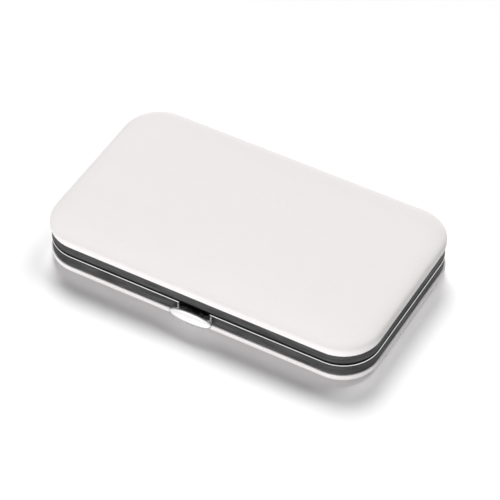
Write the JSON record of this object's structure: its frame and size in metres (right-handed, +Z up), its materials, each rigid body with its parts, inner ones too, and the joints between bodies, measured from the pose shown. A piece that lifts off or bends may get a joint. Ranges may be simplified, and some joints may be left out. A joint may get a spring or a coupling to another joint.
{
  "type": "manicure set case",
  "caption": "Slim padded case with rounded corners, metal channel frames, a back hinge and a push clasp, lined inside with a fitted tray for manicure implements.",
  "frame": {"origin": "centre of the flat underside, under the middle of the frames", "axes": "+X along the case to the right as seen from the clasp, -Y towards the front with the clasp, +Z up"},
  "size_m": [0.1164, 0.0744, 0.017],
  "materials": {
    "cover_leather": "white grained leather cloth, satin, padded",
    "frame_metal": "dark gunmetal plating, semi-gloss, with a polished lip",
    "knob_chrome": "polished, slightly brushed",
    "hinge_steel": "plated, satin",
    "clasp_black": "blackened spring steel, satin",
    "shell_board": "moulded, matt",
    "foam": "open foam, matt",
    "lining_cloth": "black woven lining, matt",
    "tray_flock": "flocked, velvet matt",
    "implement_steel": "stainless, polished with fine lines",
    "file_steel": "etched file faces, matt",
    "handle_plastic": "moulded, satin black"
  },
  "bodies": {
    "base": {"lower_frame": "frame_metal", "lower_shell": "shell_board", "lower_padding": "foam", "lower_cover": "cover_leather", "lower_lining": "lining_cloth", "tool_tray": "tray_flock", "left_hinge_lower_leaf": "hinge_steel", "right_hinge_lower_leaf": "hinge_steel", "left_hinge_pin": "hinge_steel", "right_hinge_pin": "hinge_steel", "lower_hinge_rivets": "hinge_steel", "spring_hook": "clasp_black", "clasp_rivets": "clasp_black", "lower_scissor_half": "implement_steel", "upper_scissor_half": "implement_steel", "scissor_screw": "implement_steel", "clipper_lower_jaw": "implement_steel", "clipper_upper_jaw": "implement_steel", "clipper_lever": "implement_steel", "clipper_pin": "implement_steel", "tweezers": "implement_steel", "cuticle_pusher": "implement_steel", "nail_file": "file_steel", "file_handle": "handle_plastic"},
    "lid": {"upper_frame": "frame_metal", "upper_shell": "shell_board", "upper_padding": "foam", "upper_cover": "cover_leather", "upper_lining": "lining_cloth", "left_hinge_upper_leaf": "hinge_steel", "right_hinge_upper_leaf": "hinge_steel", "upper_hinge_rivets": "hinge_steel"},
    "clasp": {"clasp_knob": "knob_chrome", "clasp_tongue": "clasp_black"}
  },
  "joints": [
    {"name": "lid_hinge", "type": "hinge", "parent": "base", "child": "lid", "pos_m": [0, 0.03485, 0.00868], "axis": [-1, 0, 0], "range_deg": [0, 180]},
    {"name": "knob_push", "type": "slide", "parent": "base", "child": "clasp", "axis": [0, 1, 0], "range_m": [0, 0.00085], "stiffness_N_per_m": 1500, "springref_m": -0.0015, "deforming": ["spring_hook"]}
  ]
}
